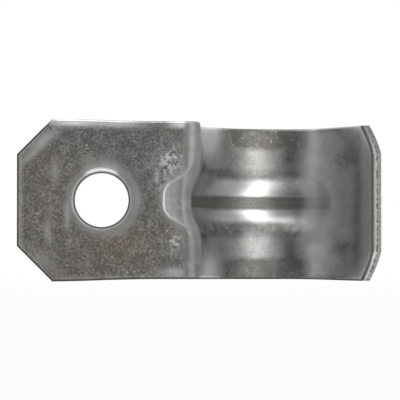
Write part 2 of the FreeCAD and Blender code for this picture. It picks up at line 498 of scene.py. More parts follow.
points, faces, notes = merged(*lay(patches))
strap = make_mesh("strap_sheet", points, faces)
print("vertices:", len(points), "faces:", len(faces))

# %% Turn the faces outwards and check that the skin is closed
CREASE = math.radians(35)  # sharper folds than this are shaded as edges

work = bmesh.new()
work.from_mesh(strap.data)
bmesh.ops.recalc_face_normals(work, faces=work.faces)
open_edges = sum(1 for edge in work.edges if len(edge.link_faces) != 2)
volume = work.calc_volume(signed=True) / METRE**3
work.to_mesh(strap.data)
work.free()
strap.data.shade_smooth()
strap.data.set_sharp_from_angle(angle=CREASE)
print("open edges:", open_edges, "volume, mm3:", round(volume, 1))

# %% [markdown]
# ## What the press and the years left on the sheet, and painted light and shade
#
# Each worn, drawn or dirty area, and each area of painted light or shade, is a number from 0 to 1
# per vertex, and the finish below only has to blend by these numbers. They could be painted by hand,
# but worked out from the shape they follow the rib and the edges exactly. Places on the tab are given
# along X, and places on the saddle as the length of arc from the leg. A sharp start and a soft end
# come from a smooth step, and a patch with no clear border from a bell curve.

# %% Soft steps, bands and spots
def step(value, start, end):
    """Smooth step: 0 before start, 1 after end, as 3 t squared minus 2 t cubed between."""
    t = np.clip((value - start) / (end - start), 0, 1)
    return t * t * (3 - 2 * t)


def between(value, start, full, wane, end):
    """Rises from start to full and falls from wane to end, by two smooth steps."""
    return step(value, start, full) * (1 - step(value, wane, end))


def band(value, centre, width):
    """Soft band: exp of minus the squared distance from its centre in units of its width."""
    return np.exp(-(((value - centre) / width) ** 2))


def spots(along, across, marks):
    """Sum of soft patches. A mark is the place of its centre along and across, its length, its width
    and its strength."""
    total = np.zeros_like(along)
    for centre_along, centre_across, long, wide, strength in marks:
        total += strength * band(along, centre_along, long) * band(across, centre_across, wide)
    return total


print("a step half-way:", float(step(0.5, 0, 1)), "a band one width out:", round(band(1, 0, 1), 3))

# %% Where each vertex lies
TAB_FADES = (U_CURVE - 0.6, U_CURVE + 0.1)  # lengths on the blank where a part gives way to the next
BEND_STARTS = (U_CURVE - 1.1, U_CURVE + 0.3)
BEND_FADES = (U_LEG, U_LEG + 1.5)
GROOVE_LIP = (0.0, 0.12)  # share of the rib's depth
UPPER_EDGE = (8.2, 8.8)  # Z

u, z, edge, level = notes.T
x, arc, off = u + FREE_X, u - U_SEAT, np.abs(z)
side = level / THICK
inside = 1 - step(side, 0.4, 0.6)
on_tab = 1 - step(u, *TAB_FADES)
past_bend = step(u, *BEND_FADES)
on_bend = step(u, *BEND_STARTS) * (1 - past_bend)
unribbed = from_line(points[:, 0], points[:, 1])
groove = np.clip((unribbed - level) / RIB_DEPTH, 0, 1)
in_groove = step(groove, *GROOVE_LIP)
from_hole = np.hypot(x - HOLE_X, z)
around = from_hole - HOLE
upper_edge = step(z, *UPPER_EDGE) * (u < U_CLIP)
print("vertices in the groove:", int((in_groove > 0.5).sum()), "on the tab:", int((on_tab > 0.5).sum()))

# %% [markdown]
# ### The tab
#
# The tab was hardly ever rubbed, so its plating is still the coarse, spangled grey it left the bath
# with, gone a little brown. A pale ring lies round the hole, and pale streaks follow the clipped
# corners. A painted highlight lies just inside the free end. White zinc oxide has bloomed on both
# sides of the groove's nose.

# %% Wear on the tab, and a painted highlight at its free end
ABOVE_HOLE = (0.78, 0.95)  # sine of the angle round the hole
HALO_WIDTH = 0.9
HALO_RIGHT = [(1.1, 0.0, 0.35, 4.5, 0.6)]  # distance from the hole, Z, length, width, strength
BOTH_CLIPS = [(1.1, 7.0, 0.6, 1.3, 1.0)]  # distance from the clip, Z, length, width, strength
UPPER_CLIP = [(1.3, 5.2, 0.35, 0.8, 0.7)]
FREE_END_LINE, FREE_END_WIDTH = 0.5, 0.2
SMEARS = [  # X, Z, length, width, strength
    (-27.3, 3.4, 0.5, 1.3, 0.6),
    (-25.9, -2.0, 0.3, 1.6, 0.8),
    (-13.2, -8.4, 1.8, 0.5, 1.2),
    (-28.2, -3.4, 0.5, 1.5, 0.5),
]
OXIDE = [(-13.9, 4.4, 1.4, 2.0, 1.0), (-13.3, -4.9, 0.9, 1.1, 0.9), (-15.3, 2.2, 0.5, 1.4, 0.6)]
BROWN = [(-19.5, -5.5, 5.0, 3.2, 1.0), (-26.5, 0.0, 2.2, 4.5, 0.7)]

above_hole = step(z / from_hole, *ABOVE_HOLE) * (u < U_CURVE)
halo = (0.9 + 0.6 * above_hole) * band(around, 0, HALO_WIDTH + 0.4 * above_hole)
halo += spots(around, z, HALO_RIGHT) * (x > HOLE_X)
past_clip = (x - FREE_X - off + HALF_STRIP - TAB_CLIP) / math.sqrt(2)
streaks = spots(past_clip, off, BOTH_CLIPS) * (0.45 + 0.55 * (z > 0))
streaks += spots(past_clip, z, UPPER_CLIP)
# painted highlight in a pale band just inside the free end
free_end = 0.5 * band(u, FREE_END_LINE, FREE_END_WIDTH) * (edge > 0.25)
pale_tab = on_tab * (0.8 * halo + streaks + spots(x, z, SMEARS) + free_end)
oxide = spots(x, z, OXIDE) * on_tab * (1 - in_groove)
brown = spots(x, z, BROWN) * on_tab
print("palest on the tab:", round(float(pale_tab.max()), 2))

# %% [markdown]
# ### The bend and the groove
#
# Bending drew the metal over the die and left the bend and the groove a smooth, even grey. The
# spangle of the tab ends in a rounded nose round the groove, and a painted highlight lies on the
# groove's lip there. Painted shade darkens the lower part of the bend and the deep end of the
# groove's floor.

# %% Drawn metal, painted shade and a painted highlight
NOSE_FADES = (0.1, 0.75)  # height of the rib's own surface above the flat
NOSE_WIDTH, NOSE_REACH = 2.6, 6
LIP_DEPTH, LIP_WIDTH = 0.06, 0.035  # shares of the rib's depth
LOWER_BEND = (3.5, 6.0)  # distance below the middle
DEEP_END = (-13.6, -12.4)  # X over which painted shade darkens the groove's floor

gap = from_crest(points[:, 0], points[:, 1]) + rib_drop(z) - unribbed
round_nose = 0.85 * (1 - step(gap, *NOSE_FADES)) * (off < NOSE_REACH)
smooth = on_bend + on_tab * np.maximum(in_groove, inside * round_nose)
# painted highlight on the groove's lip, strongest round the nose
lip = band(groove, LIP_DEPTH, LIP_WIDTH) * on_tab * (0.3 + 0.7 * band(z, 0, NOSE_WIDTH))
# painted shade on the lower part of the bend and the deep end of the groove's floor
bend_shade = 0.35 * inside * on_bend * step(-z, *LOWER_BEND)
bend_shade += 0.6 * on_tab * in_groove * step(x, *DEEP_END)
print("drawn vertices:", int((smooth > 0.5).sum()))

# %% [markdown]
# ### The saddle
#
# The mandrel that shaped the saddle polished a band on each flank of the rib, and a painted highlight
# is laid on these bands. It rubbed a dark stripe on the rib's flat crest, and never touched the strips
# along the long edges, where the plating stays coarse and dirty, and darker on the lower half. Painted
# shade darkens the rest of the flanks and the crease at the rib's foot, and painted dark reflections
# lie near the crown and on the hook. Past the crown the rib runs out, and painted light makes the
# metal pale and even there; painted light also lies in patches on the leg's top, past the crown and
# at the hook's end.

# %% Wear, painted light and painted shade on the saddle
LEG_TOP = [(4.4, 8.2, 2.6, 2.2, 2.0), (4.4, -7.8, 2.4, 1.5, 1.0)]  # arc, Z, length, width, strength
PAST_CROWN = [(19.7, 2.4, 0.9, 5.2, 0.65)]
BELOW_RIB = [(21.7, 0, 0.8, 2.8, 0.45)]
# a dark spot on the leg's top, and painted dark reflections near the crown and on the hook
DARK_SPOTS_AND_REFLECTIONS = [
    (16.9, 6.0, 0.7, 1.9, 1.2),
    (3.1, 4.3, 0.8, 0.5, 1.7),
    (23.6, 5.3, 1.3, 1.0, 0.6),
    (25.0, 0, 2.2, 9.0, 0.7),
]
HOOK_PALE = (26.5, 28.5)  # arcs from here on
COARSE_ARC, SMUDGED_ARC = (6, 10, 17, 20), (4, 9, 15, 19)
RIB_ENDS, STRIPE_ENDS = (17.5, 19.5), (21, 24)
FOOT_FADES = (12, 20)
POLISH_STARTS, UPPER_ENDS, LOWER_ENDS = (5, 10), (14.5, 17), (16.0, 18)
RUN_OUT_ARC = (17.5, 20.5, 25, 27)
COARSE_OFF = (6.2, 7.4)  # distances from the middle of the width from here on
STRIPE_Z, STRIPE_EDGE = 0.12, (0.68, 0.80)
FOOT_OFF, FOOT_WIDTH = RIB_BASE / 2 + 0.05, 0.25
UPPER_FLANK, LOWER_FLANK = (0.85, 1.2, 2.5, 3.4), (0.6, 1.0, 1.8, 2.6)
FLANK_SHADE_OFF, RUN_OUT_OFF = (0.9, 3.0), (4.0, 5.2)

# painted light: lighter patches on the leg's top, past the crown, below the rib's end and at the hook's
# end
painted_saddle_light = spots(arc, z, LEG_TOP) + spots(arc, z, PAST_CROWN) + spots(arc, off, BELOW_RIB)
painted_saddle_light += 0.7 * step(arc, *HOOK_PALE)
untouched = step(off, *COARSE_OFF) * between(arc, *COARSE_ARC)
stripe = (1 - step(np.abs(z - STRIPE_Z), *STRIPE_EDGE)) * in_groove * past_bend
stripe *= 1 - 0.75 * step(arc, *RIB_ENDS) - 0.25 * step(arc, *STRIPE_ENDS)
# painted shade in the crease along the rib's foot
foot = band(off, FOOT_OFF, FOOT_WIDTH) * past_bend * (1 - step(arc, *FOOT_FADES))
upper_flank = between(z, *UPPER_FLANK) * (1 - step(arc, *UPPER_ENDS))
lower_flank = between(-z, *LOWER_FLANK) * (1 - step(arc, *LOWER_ENDS))
# polished bands on the flanks, with a painted highlight laid on them
polish = (upper_flank + lower_flank) * step(arc, *POLISH_STARTS)
# painted shade on the flanks outside the highlight
dull = in_groove * step(off, *FLANK_SHADE_OFF) * (1 - polish) * (1 - step(arc, *RIB_ENDS))
# painted light that lifts the dark ring where the rib runs out
run_out = between(arc, *RUN_OUT_ARC) * (1 - step(off, *RUN_OUT_OFF))
print("polished vertices:", int((polish > 0.5).sum()), "in the stripe:", int((stripe > 0.5).sum()))

# %% How dirty, shaded and coarse the saddle is
below = z < 0  # the lower half is made darker
# dirt, with painted shade on the rib's foot and flanks and painted dark reflections
soil_and_shade = 0.45 * foot + 0.7 * spots(arc, off, DARK_SPOTS_AND_REFLECTIONS)
soil_and_shade += (0.75 + 0.65 * below) * untouched + (0.56 + 0.22 * below) * dull
coarse = on_tab * (1 - in_groove) * (1 - 0.6 * halo) + 0.8 * untouched
coarse += 0.32 * past_bend * between(arc, *SMUDGED_ARC)
print("mean soiling of the saddle:", round(float(soil_and_shade[past_bend > 0.5].mean()), 3))

# %% [markdown]
# ### The edges
#
# A thin dark line of painted shade lies on the outer half of the rolled edge, with a pale line of
# painted highlight next to it on the tab. Painted highlights lie along the tab's upper edge and the
# upper mouth of the hole, and painted shade darkens the hook's upper clip.

# %% Painted shade and painted highlights on the edges
# painted highlights along the tab's upper edge
GLINTS = [(-25.4, 2.8, 1.0), (-20, 3, 0.6), (-12.4, 1.4, 1.0)]  # X, length, strength
GLINT_LINE, GLINT_WIDTH = 0.35, 0.42  # distances from the upper edge
HIGHLIGHT_STARTS = (0.2, 0.4)
CRESCENT_LINE, CRESCENT_WIDTH = 0.4, 0.16  # distances from the hole
PALE_LINE = (0.15, 0.3)  # distance from the edge

from_top = trimmed(u) - z
# painted shade: a thin dark line on the outer half of the rolled edge
dark_line = (1 - step(edge, 0.13 + 0.05 * on_tab, 0.25 + 0.06 * on_tab)) * (1 - upper_edge)
# painted highlight: a pale line on the inner half of the rolled edge
pale_line = step(edge, *PALE_LINE) * (edge < 1) * (0.3 + 0.15 * (around < 0.5))
glint = band(from_top, GLINT_LINE, GLINT_WIDTH) * on_tab * (u > TAB_CLIP - 0.3)
glint *= sum(strength * band(x, centre, long) for centre, long, strength in GLINTS)
# painted highlights at the hole's upper mouth and along the tab's upper edge
rim_highlights = band(around, CRESCENT_LINE, CRESCENT_WIDTH) * above_hole
rim_highlights += 0.8 * glint * step(from_top, *HIGHLIGHT_STARTS)
# painted shade on the hook's upper clip
grime = (z > HALF_STRIP - HOOK_CLIP) * (u > U_CLIP - 0.5)
print("vertices in the dark line:", int((dark_line > 0.5).sum()))

# %% All areas, stored on the mesh
areas = {
    "mottle": inside * coarse + 0.6 * (1 - inside) * (1 - on_bend),
    "smooth": smooth,
    "pale": inside * (pale_tab + past_bend * painted_saddle_light + pale_line * on_tab * (1 - upper_edge)),
    "stain": inside * stripe,
    "dim": bend_shade + inside * past_bend * soil_and_shade,
    "polish": inside * polish * in_groove,
    "run_out": inside * run_out,
    "lip": inside * (0.55 * lip + glint),
    "scuff": inside * rim_highlights,
    "oxide": inside * oxide,
    "outline": inside * dark_line,
    "brown": brown,
    "side": side,
    "grime": grime,
}


def add_notes(mesh, areas, notes):
    """Store the areas as vertex attributes and the blank's coordinates as a UV map, in millimetres."""
    for name, values in areas.items():
        layer = mesh.attributes.new(name, "FLOAT", "POINT")
        layer.data.foreach_set("value", np.clip(values, 0, 1).astype(np.float32))
    corner_vertex = np.empty(len(mesh.loops), dtype=np.int64)
    mesh.loops.foreach_get("vertex_index", corner_vertex)
    blank = mesh.uv_layers.new(name="blank")
    blank.data.foreach_set("uv", notes[corner_vertex, :2].astype(np.float32).reshape(-1))


add_notes(strap.data, areas, notes)
for name, values in areas.items():
    print(name, "mean", round(float(np.clip(values, 0, 1).mean()), 3))

# %% [markdown]
# ## Finish
#
# Two materials cover the strap. The plating is metal, and what changes over it is how pale it is, how
# rough, and how finely pitted. The sheared edge is the bare steel that the punch cut, with a smooth
# burnished strip next to the inside face and a torn strip beyond it. What both show, scattered flecks
# and pits, is one node group that each material places with its own values.

# %% Short ways to build nodes
class Tree:
    """Adds nodes to a node tree and joins their sockets."""

    def __init__(self, tree):
        self.tree = tree

    def add(self, kind, inputs=(), **settings):
        """A new node with its settings, and values or other nodes' sockets at its inputs."""
        node = self.tree.nodes.new(kind)
        for name, value in settings.items():
            setattr(node, name, value)
        for socket, value in dict(inputs).items():
            self.join(value, node.inputs[socket])
        return node

    def join(self, value, socket):
        """Link a socket to an input, or set the input to a number or a colour."""
        if isinstance(value, bpy.types.NodeSocket):
            self.tree.links.new(value, socket)
        elif socket.type == "RGBA":
            socket.default_value = (*value, 1)
        else:
            socket.default_value = value

    def math(self, operation, first, second=0.0, third=0.0):
        """One of the Math node's operations on up to three numbers."""
        inputs = {0: first, 1: second, 2: third}
        return self.add("ShaderNodeMath", inputs, operation=operation).outputs[0]

    def mix(self, share, first, second):
        """Blend of two colours. In the colour mode the Mix node's inputs are numbers 0, 6 and 7."""
        inputs = {0: share, 6: first, 7: second}
        return self.add("ShaderNodeMix", inputs, data_type="RGBA").outputs[2]

    def blend(self, share, first, second):
        """Blend of two numbers."""
        return self.add("ShaderNodeMix", {0: share, 2: first, 3: second}).outputs[0]

    def ranged(self, value, low, high, to_low=0.0, to_high=1.0):
        """Smooth step of a value from low to high."""
        inputs = {0: value, 1: low, 2: high, 3: to_low, 4: to_high}
        return self.add("ShaderNodeMapRange", inputs, interpolation_type="SMOOTHSTEP").outputs[0]

    def noise(self, vector, scale, detail, roughness, distortion=0.0):
        """Noise in space, from about 0.2 to 0.8."""
        inputs = {"Vector": vector, "Scale": scale, "Detail": detail, "Roughness": roughness}
        node = self.add("ShaderNodeTexNoise", {**inputs, "Distortion": distortion})
        return node.outputs["Fac"]


print("node helpers:", [name for name in vars(Tree) if not name.startswith("_")])


# %% What the nodes read from the strap
def area(tree, name):
    """An area's number, from the vertices."""
    return tree.add("ShaderNodeAttribute", attribute_name=name).outputs["Fac"]


def place(tree):
    """Object coordinates in millimetres."""
    raw = tree.add("ShaderNodeTexCoord").outputs["Object"]
    return tree.add("ShaderNodeVectorMath", {0: raw, 3: 1 / METRE}, operation="SCALE").outputs[0]


def blank(tree):
    """Length and width on the flat blank, in millimetres."""
    raw = tree.add("ShaderNodeUVMap", uv_map="blank").outputs[0]
    return tree.add("ShaderNodeSeparateXYZ", {0: raw}).outputs[:2]


print("areas to read:", len(areas), "UV maps:", len(strap.data.uv_layers))


# %% Node groups: how one is made and placed
def new_group(name, inputs, outputs):
    """An empty node group with float inputs and the named float outputs."""
    group = bpy.data.node_groups.new(name, "ShaderNodeTree")
    for label, value in inputs.items():
        socket = group.interface.new_socket(label, in_out="INPUT", socket_type="NodeSocketFloat")
        socket.default_value = value
    for label in outputs:
        group.interface.new_socket(label, in_out="OUTPUT", socket_type="NodeSocketFloat")
    tree = Tree(group)
    return tree, tree.add("NodeGroupInput").outputs, tree.add("NodeGroupOutput").inputs


def use(tree, group, **inputs):
    """Outputs of a group placed in a tree, with its inputs set by name."""
    node = tree.add("ShaderNodeGroup", node_tree=group)
    for name, value in inputs.items():
        tree.join(value, node.inputs[name.replace("_", " ")])
    return node.outputs


print("node groups so far:", len(bpy.data.node_groups))


# %% Node group: flecks
def flecks_group():
    """Scattered flecks: noise cut off between From and To, so that only its peaks are left."""
    inputs = {"Scale": 2.0, "Detail": 2.0, "Roughness": 0.5, "From": 0.6, "To": 0.7}
    tree, given, result = new_group("flecks", inputs, ["Value"])
    cells = tree.noise(place(tree), given["Scale"], given["Detail"], given["Roughness"])
    tree.join(tree.ranged(cells, given["From"], given["To"]), result["Value"])
    return tree.tree


flecks = flecks_group()
print("flecks:", len(flecks.nodes), "nodes")


# %% Node group: grain
def grain_group():
    """Crystals of the plating: fine cells mixed with coarse ones, and the height of the fine ones."""
    tree, given, result = new_group("grain", {"Scale": 1.0}, ["Value", "Height"])
    here = place(tree)
    fine = tree.noise(here, tree.math("MULTIPLY", given["Scale"], 3.6), 4, 0.68)
    coarse = tree.noise(here, tree.math("MULTIPLY", given["Scale"], 0.7), 3, 0.6)
    both = tree.math("MULTIPLY_ADD", fine, 0.68, tree.math("MULTIPLY", coarse, 0.32))
    tree.join(tree.ranged(both, 0.40, 0.66), result["Value"])
    tree.join(fine, result["Height"])
    return tree.tree


grain = grain_group()
print("grain:", len(grain.nodes), "nodes")


# %% Node group: drag lines
def drag_group():
    """Lines rubbed along the strap's length: noise that changes 30 times slower along the blank."""
    tree, given, result = new_group("drag_lines", {"Lines per mm": 3.0}, ["Value"])
    length, width = blank(tree)
    along = tree.math("MULTIPLY", length, 0.1)
    across = tree.math("MULTIPLY", width, given["Lines per mm"])
    stretched = tree.add("ShaderNodeCombineXYZ", {0: along, 1: across}).outputs[0]
    tree.join(tree.ranged(tree.noise(stretched, 1.0, 3, 0.6), 0.3, 0.7), result["Value"])
    return tree.tree


drag = drag_group()
print("drag lines:", len(drag.nodes), "nodes")


# %% Node group: tarnish
def tarnish_group():
    """Large soft clouds that turn the grey a little browner, and smaller ones that darken it."""
    tree, given, result = new_group("tarnish", {"Scale": 0.16}, ["Value", "Cloud"])
    here = place(tree)
    tree.join(tree.ranged(tree.noise(here, given["Scale"], 3, 0.55), 0.38, 0.62), result["Value"])
    cloud = tree.noise(here, tree.math("MULTIPLY", given["Scale"], 3.5), 3, 0.6, 0.4)
    tree.join(tree.ranged(cloud, 0.3, 0.7), result["Cloud"])
    return tree.tree


tarnish = tarnish_group()
print("node groups:", [group.name for group in bpy.data.node_groups])

# %% [markdown]
# ## The plated faces
#
# Dark grain and bright grain alternate where the sheet is untouched. Where it is rubbed, the grain
# fades and the metal is paler and more even. The colour is built in coats: the plating first, then
# what the press did to it, then dirt and painted shade, and last the painted highlights. A metal's
# colour is how much light it reflects, so even dark plating lies well above black.

# %% Colours of the plating
SPANGLE_DARK, SPANGLE_DARK_BROWN = (0.175, 0.185, 0.175), (0.228, 0.192, 0.162)
SPANGLE_LIGHT, SPANGLE_LIGHT_BROWN = (0.50, 0.505, 0.48), (0.59, 0.53, 0.465)
SPANGLE_FILM, SPANGLE_FLECK = (0.22, 0.215, 0.20), (0.86, 0.86, 0.82)
EVEN_DARK, EVEN_LIGHT = (0.37, 0.38, 0.37), (0.48, 0.49, 0.47)
DRAWN_DARK, DRAWN_LIGHT = (0.31, 0.32, 0.31), (0.40, 0.41, 0.405)
# pale wear with painted light, and a painted highlight on the polished flanks
PALE_WEAR_AND_LIGHT, POLISHED_HIGHLIGHT = (0.80, 0.80, 0.78), (0.92, 0.92, 0.90)
# dirt with painted shade, and painted light where the rib runs out
SOIL_AND_SHADE_GREY, RUN_OUT_LIGHT = (0.17, 0.17, 0.16), (0.55, 0.56, 0.55)
STRIPE_DARK, STRIPE_LIGHT = (0.165, 0.165, 0.152), (0.215, 0.215, 0.200)
STRIPE_GRAIN = (0.36, 0.355, 0.335)
WHITE_OXIDE = (0.80, 0.81, 0.79)
# painted shade of the edge's dark line, and painted highlights on the lip and the edges
EDGE_SHADE, LIP_SHINE, HIGHLIGHT_WHITE = (0.04, 0.04, 0.035), (0.92, 0.92, 0.91), (0.86, 0.86, 0.85)
print("reflects:", SPANGLE_DARK[1], "in dark grain,", POLISHED_HIGHLIGHT[1], "where polished")


# %% Colour of the plating
def coats(tree, colour, layers):
    """The colour with each layer laid over it: (mask, strength, colour), where the share is the mask
    times the strength."""
    for mask, strength, over in layers:
        share = mask if strength == 1 else tree.math("MULTIPLY", mask, strength)
        colour = tree.mix(share, colour, over)
    return colour


def spangle(tree, crystals, clouds):
    """Untouched plating: dark and light crystals, each grey or brown, under a thin film."""
    browned = tree.math("MULTIPLY", clouds["Value"], 0.5)
    browned = tree.math("MAXIMUM", browned, area(tree, "brown"))
    dark = tree.mix(browned, SPANGLE_DARK, SPANGLE_DARK_BROWN)
    light = tree.mix(browned, SPANGLE_LIGHT, SPANGLE_LIGHT_BROWN)
    specks = use(tree, flecks, Scale=2.3, Detail=1.0, Roughness=0.5, From=0.71, To=0.78)["Value"]
    layers = [(clouds["Cloud"], 0.3, SPANGLE_FILM), (specks, 1, SPANGLE_FLECK)]
    return coats(tree, tree.mix(crystals["Value"], dark, light), layers)


def plating_colour(tree, masks, crystals, clouds, lines):
    """All coats of the plating, from the bath to the last painted highlight."""
    even = tree.mix(clouds["Cloud"], EVEN_DARK, EVEN_LIGHT)
    drawn = tree.mix(clouds["Cloud"], DRAWN_DARK, DRAWN_LIGHT)
    stripe = tree.mix(lines, STRIPE_DARK, STRIPE_LIGHT)
    stripe = coats(tree, stripe, [(crystals["Value"], 0.35, STRIPE_GRAIN)])
    # the pale, polished and run-out layers carry painted light, the dim layer dirt and painted shade,
    # the outline layer painted shade, and the lip and edge layers painted highlights
    layers = [
        (masks["mottle"], 1, spangle(tree, crystals, clouds)),
        (masks["smooth"], 1, drawn),
        (masks["pale"], 0.75, PALE_WEAR_AND_LIGHT),
        (masks["polish"], 0.9, POLISHED_HIGHLIGHT),
        (masks["dim"], 0.8, SOIL_AND_SHADE_GREY),
        (masks["run_out"], 0.4, RUN_OUT_LIGHT),
        (masks["stain"], 1, stripe),
        (masks["oxide"], 1, WHITE_OXIDE),
        (masks["outline"], 0.9, EDGE_SHADE),
        (masks["lip"], 0.85, LIP_SHINE),
        (masks["scuff"], 1, HIGHLIGHT_WHITE),
    ]
    return coats(tree, even, layers)


print("the plating's colour is made from", len(areas) - 2, "areas")


# %% Roughness of the plating
EVEN_ROUGH, COARSE_ROUGH, POWDER_ROUGH = 0.42, 0.54, 0.8
DRAG_RELIEF = 0.01
AREA_ROUGH = {"smooth": 0.62, "run_out": 0.7, "polish": 0.36, "lip": 0.35, "stain": 0.5}


def plating_roughness(tree, masks, lines):
    """Roughness by area: coarse plating scatters light, polished flanks mirror it, powder is dull."""
    coarse_or_pale = tree.math("MAXIMUM", masks["mottle"], masks["pale"])
    rough = tree.blend(coarse_or_pale, EVEN_ROUGH, COARSE_ROUGH)
    for name, value in AREA_ROUGH.items():
        rough = tree.blend(masks[name], rough, value)
    rough = tree.math("ADD", rough, tree.ranged(lines, 0, 1, -DRAG_RELIEF, DRAG_RELIEF))
    return tree.blend(masks["oxide"], rough, POWDER_ROUGH)


print("roughness by area:", AREA_ROUGH)


# %% Plated faces
RAGGED = 0.9  # how far noise moves the border of drawn metal
PATCHY = (0.65, 1.55)  # how weak and how strong dirt and painted shade get
COVERED_RELIEF, COARSE_RELIEF = 0.08, 0.6
CRYSTAL_HEIGHT = 0.02


def new_material(name):
    """A node material, its tree and its Principled shader."""
    material = bpy.data.materials.new(name)
    material.use_nodes = True
    return material, Tree(material.node_tree), material.node_tree.nodes["Principled BSDF"]


def plating_masks(tree):
    """The areas as they reach the finish: drawn metal ends raggedly, dirt and painted shade are patchy,
    and the oxide stands in clumps."""
    names = ("mottle", "smooth", "pale", "polish", "dim", "run_out", "stain", "oxide", "outline")
    masks = {name: area(tree, name) for name in names + ("lip", "scuff")}
    ragged = tree.math("MULTIPLY_ADD", tree.noise(place(tree), 1.3, 3, 0.6), RAGGED, -RAGGED / 2)
    masks["smooth"] = tree.ranged(tree.math("ADD", masks["smooth"], ragged), 0.3, 0.7)
    patchy = tree.ranged(tree.noise(place(tree), 0.8, 5, 0.7, 0.5), 0.36, 0.64, *PATCHY)
    masks["dim"] = tree.math("MULTIPLY", masks["dim"], patchy)
    clumps = use(tree, flecks, Scale=1.5, Detail=5.0, Roughness=0.75, From=0.40, To=0.62)["Value"]
    masks["oxide"] = tree.math("MULTIPLY", masks["oxide"], clumps)
    return masks


def plated_material():
    """Zinc plating. The painted shade and painted highlights on the edges aren't metal, so the metal
    gives way there.
    """
    material, tree, shader = new_material("zinc_plating")
    masks = plating_masks(tree)
    crystals = use(tree, grain, Scale=1.0)
    clouds = use(tree, tarnish, Scale=0.16)
    lines = use(tree, drag, Lines_per_mm=3.0)["Value"]
    tree.join(plating_colour(tree, masks, crystals, clouds, lines), shader.inputs["Base Color"])
    tree.join(plating_roughness(tree, masks, lines), shader.inputs["Roughness"])
    # the painted dark line and painted highlights on the edges are not metal
    painted_on_edges = tree.math("MAXIMUM", masks["outline"], masks["scuff"])
    tree.join(tree.math("SUBTRACT", 1.0, painted_on_edges), shader.inputs["Metallic"])
    shader.inputs["Specular IOR Level"].default_value = 0.0
    strength = tree.blend(masks["mottle"], COVERED_RELIEF, COARSE_RELIEF)
    relief = {"Strength": strength, "Distance": CRYSTAL_HEIGHT * METRE, "Height": crystals["Height"]}
    tree.join(tree.add("ShaderNodeBump", relief).outputs[0], shader.inputs["Normal"])
    return material


strap.data.materials.append(plated_material())
print("zinc_plating:", len(strap.data.materials[0].node_tree.nodes), "nodes")

# %% [markdown]
# ## The sheared edge
#
# Lines run through the thickness where the punch scraped, and pits open where the steel tore. Cut
# into the mesh they would need millions of faces, so the lines are noise stretched through the
# thickness, with a little relief. Where the scraped strip ends, noise moves the border to and fro.

# %% Sheared edge
SCRAPED_DARK, SCRAPED_LIGHT = (0.32, 0.32, 0.315), (0.54, 0.535, 0.52)
TORN_DARK, TORN_LIGHT = (0.14, 0.135, 0.13), (0.54, 0.53, 0.51)
# the last grey is painted shade for the hook's upper clip
PIT, BRIGHT_STEEL, CLIP_SHADE_GREY = (0.08, 0.075, 0.07), (0.85, 0.85, 0.83), (0.13, 0.13, 0.13)
LINES_PER_MM, SLANT = 5.0, 1.7
TEAR_STARTS, TEAR_WANDERS = (0.58, 0.72), 0.25  # shares of the thickness
PITS_REACH = (0.85, 0.55)
SCRAPED_ROUGH, TORN_ROUGH = 0.34, 0.62
SCRAPED_RELIEF, TORN_RELIEF, TEAR_HEIGHT = 0.25, 0.8, 0.05


def sheared_material():
    """Bare cut steel: scraped near the inside face, torn and pitted towards the outside face."""
    material, tree, shader = new_material("sheared_steel")
    length, width = blank(tree)
    depth = area(tree, "side")
    along = tree.math("MULTIPLY_ADD", width, SLANT, length)
    along = tree.math("MULTIPLY", along, LINES_PER_MM)
    stretched = tree.add("ShaderNodeCombineXYZ", {0: along, 1: depth}).outputs[0]
    scrape = tree.noise(stretched, 1.0, 3, 0.6)
    border = tree.math("MULTIPLY_ADD", tree.noise(stretched, 0.4, 2, 0.5), TEAR_WANDERS, depth)
    torn_part = tree.ranged(border, *TEAR_STARTS)
    pits = use(tree, flecks, Scale=2.6, Detail=4.0, Roughness=0.7, From=0.50, To=0.57)["Value"]
    pits = tree.math("MULTIPLY", pits, tree.ranged(depth, *PITS_REACH))
    bright = use(tree, flecks, Scale=4.1, Detail=3.0, Roughness=0.7, From=0.60, To=0.68)["Value"]
    layers = [
        (torn_part, 1, tree.mix(scrape, TORN_DARK, TORN_LIGHT)),
        (tree.math("MULTIPLY", pits, torn_part), 1, PIT),
        (bright, 1, BRIGHT_STEEL),
        # painted shade on the hook's upper clip
        (area(tree, "grime"), 0.6, CLIP_SHADE_GREY),
    ]
    colour = coats(tree, tree.mix(scrape, SCRAPED_DARK, SCRAPED_LIGHT), layers)
    tree.join(colour, shader.inputs["Base Color"])
    tree.join(tree.blend(torn_part, SCRAPED_ROUGH, TORN_ROUGH), shader.inputs["Roughness"])
    shader.inputs["Metallic"].default_value = 1.0
    strength = tree.blend(torn_part, SCRAPED_RELIEF, TORN_RELIEF)
    relief = {"Strength": strength, "Distance": TEAR_HEIGHT * METRE, "Height": scrape}
    tree.join(tree.add("ShaderNodeBump", relief).outputs[0], shader.inputs["Normal"])
    return material


strap.data.materials.append(sheared_material())
print("sheared_steel:", len(strap.data.materials[1].node_tree.nodes), "nodes")

# %% Give the walls their steel, parent the piece to the root body and hide the solid
on_wall = notes[faces, 2].max(axis=1) < 1e-9  # all four corners lie on the outline
strap.data.polygons.foreach_set("material_index", on_wall.astype(np.int32))
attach(strap, "root")
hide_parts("strap")
print("faces of sheared edge:", int(on_wall.sum()))

# %% [markdown]
# ## Studio
#
# The strap stands on its long lower edge on a white translucent sheet, as on a light table, in white
# surroundings. Grey cards stand behind the camera and at the sides, because bare metal shows what is
# round it. One tall narrow softbox stands to the right and a weaker one to the left, because a
# polished flank shows a lamp's own shape. A wide one hangs above, and a faint one shines up through
# the white sheet, which throws no shadow of its own.

# %% What the camera and the reflections see
scene = bpy.context.scene
scene.view_settings.view_transform = "Standard"
SURROUND = 0.8  # how strongly the white surround lights the strap
SEEN_BY = ("Is Camera Ray", "Is Glossy Ray", "Is Transmission Ray")


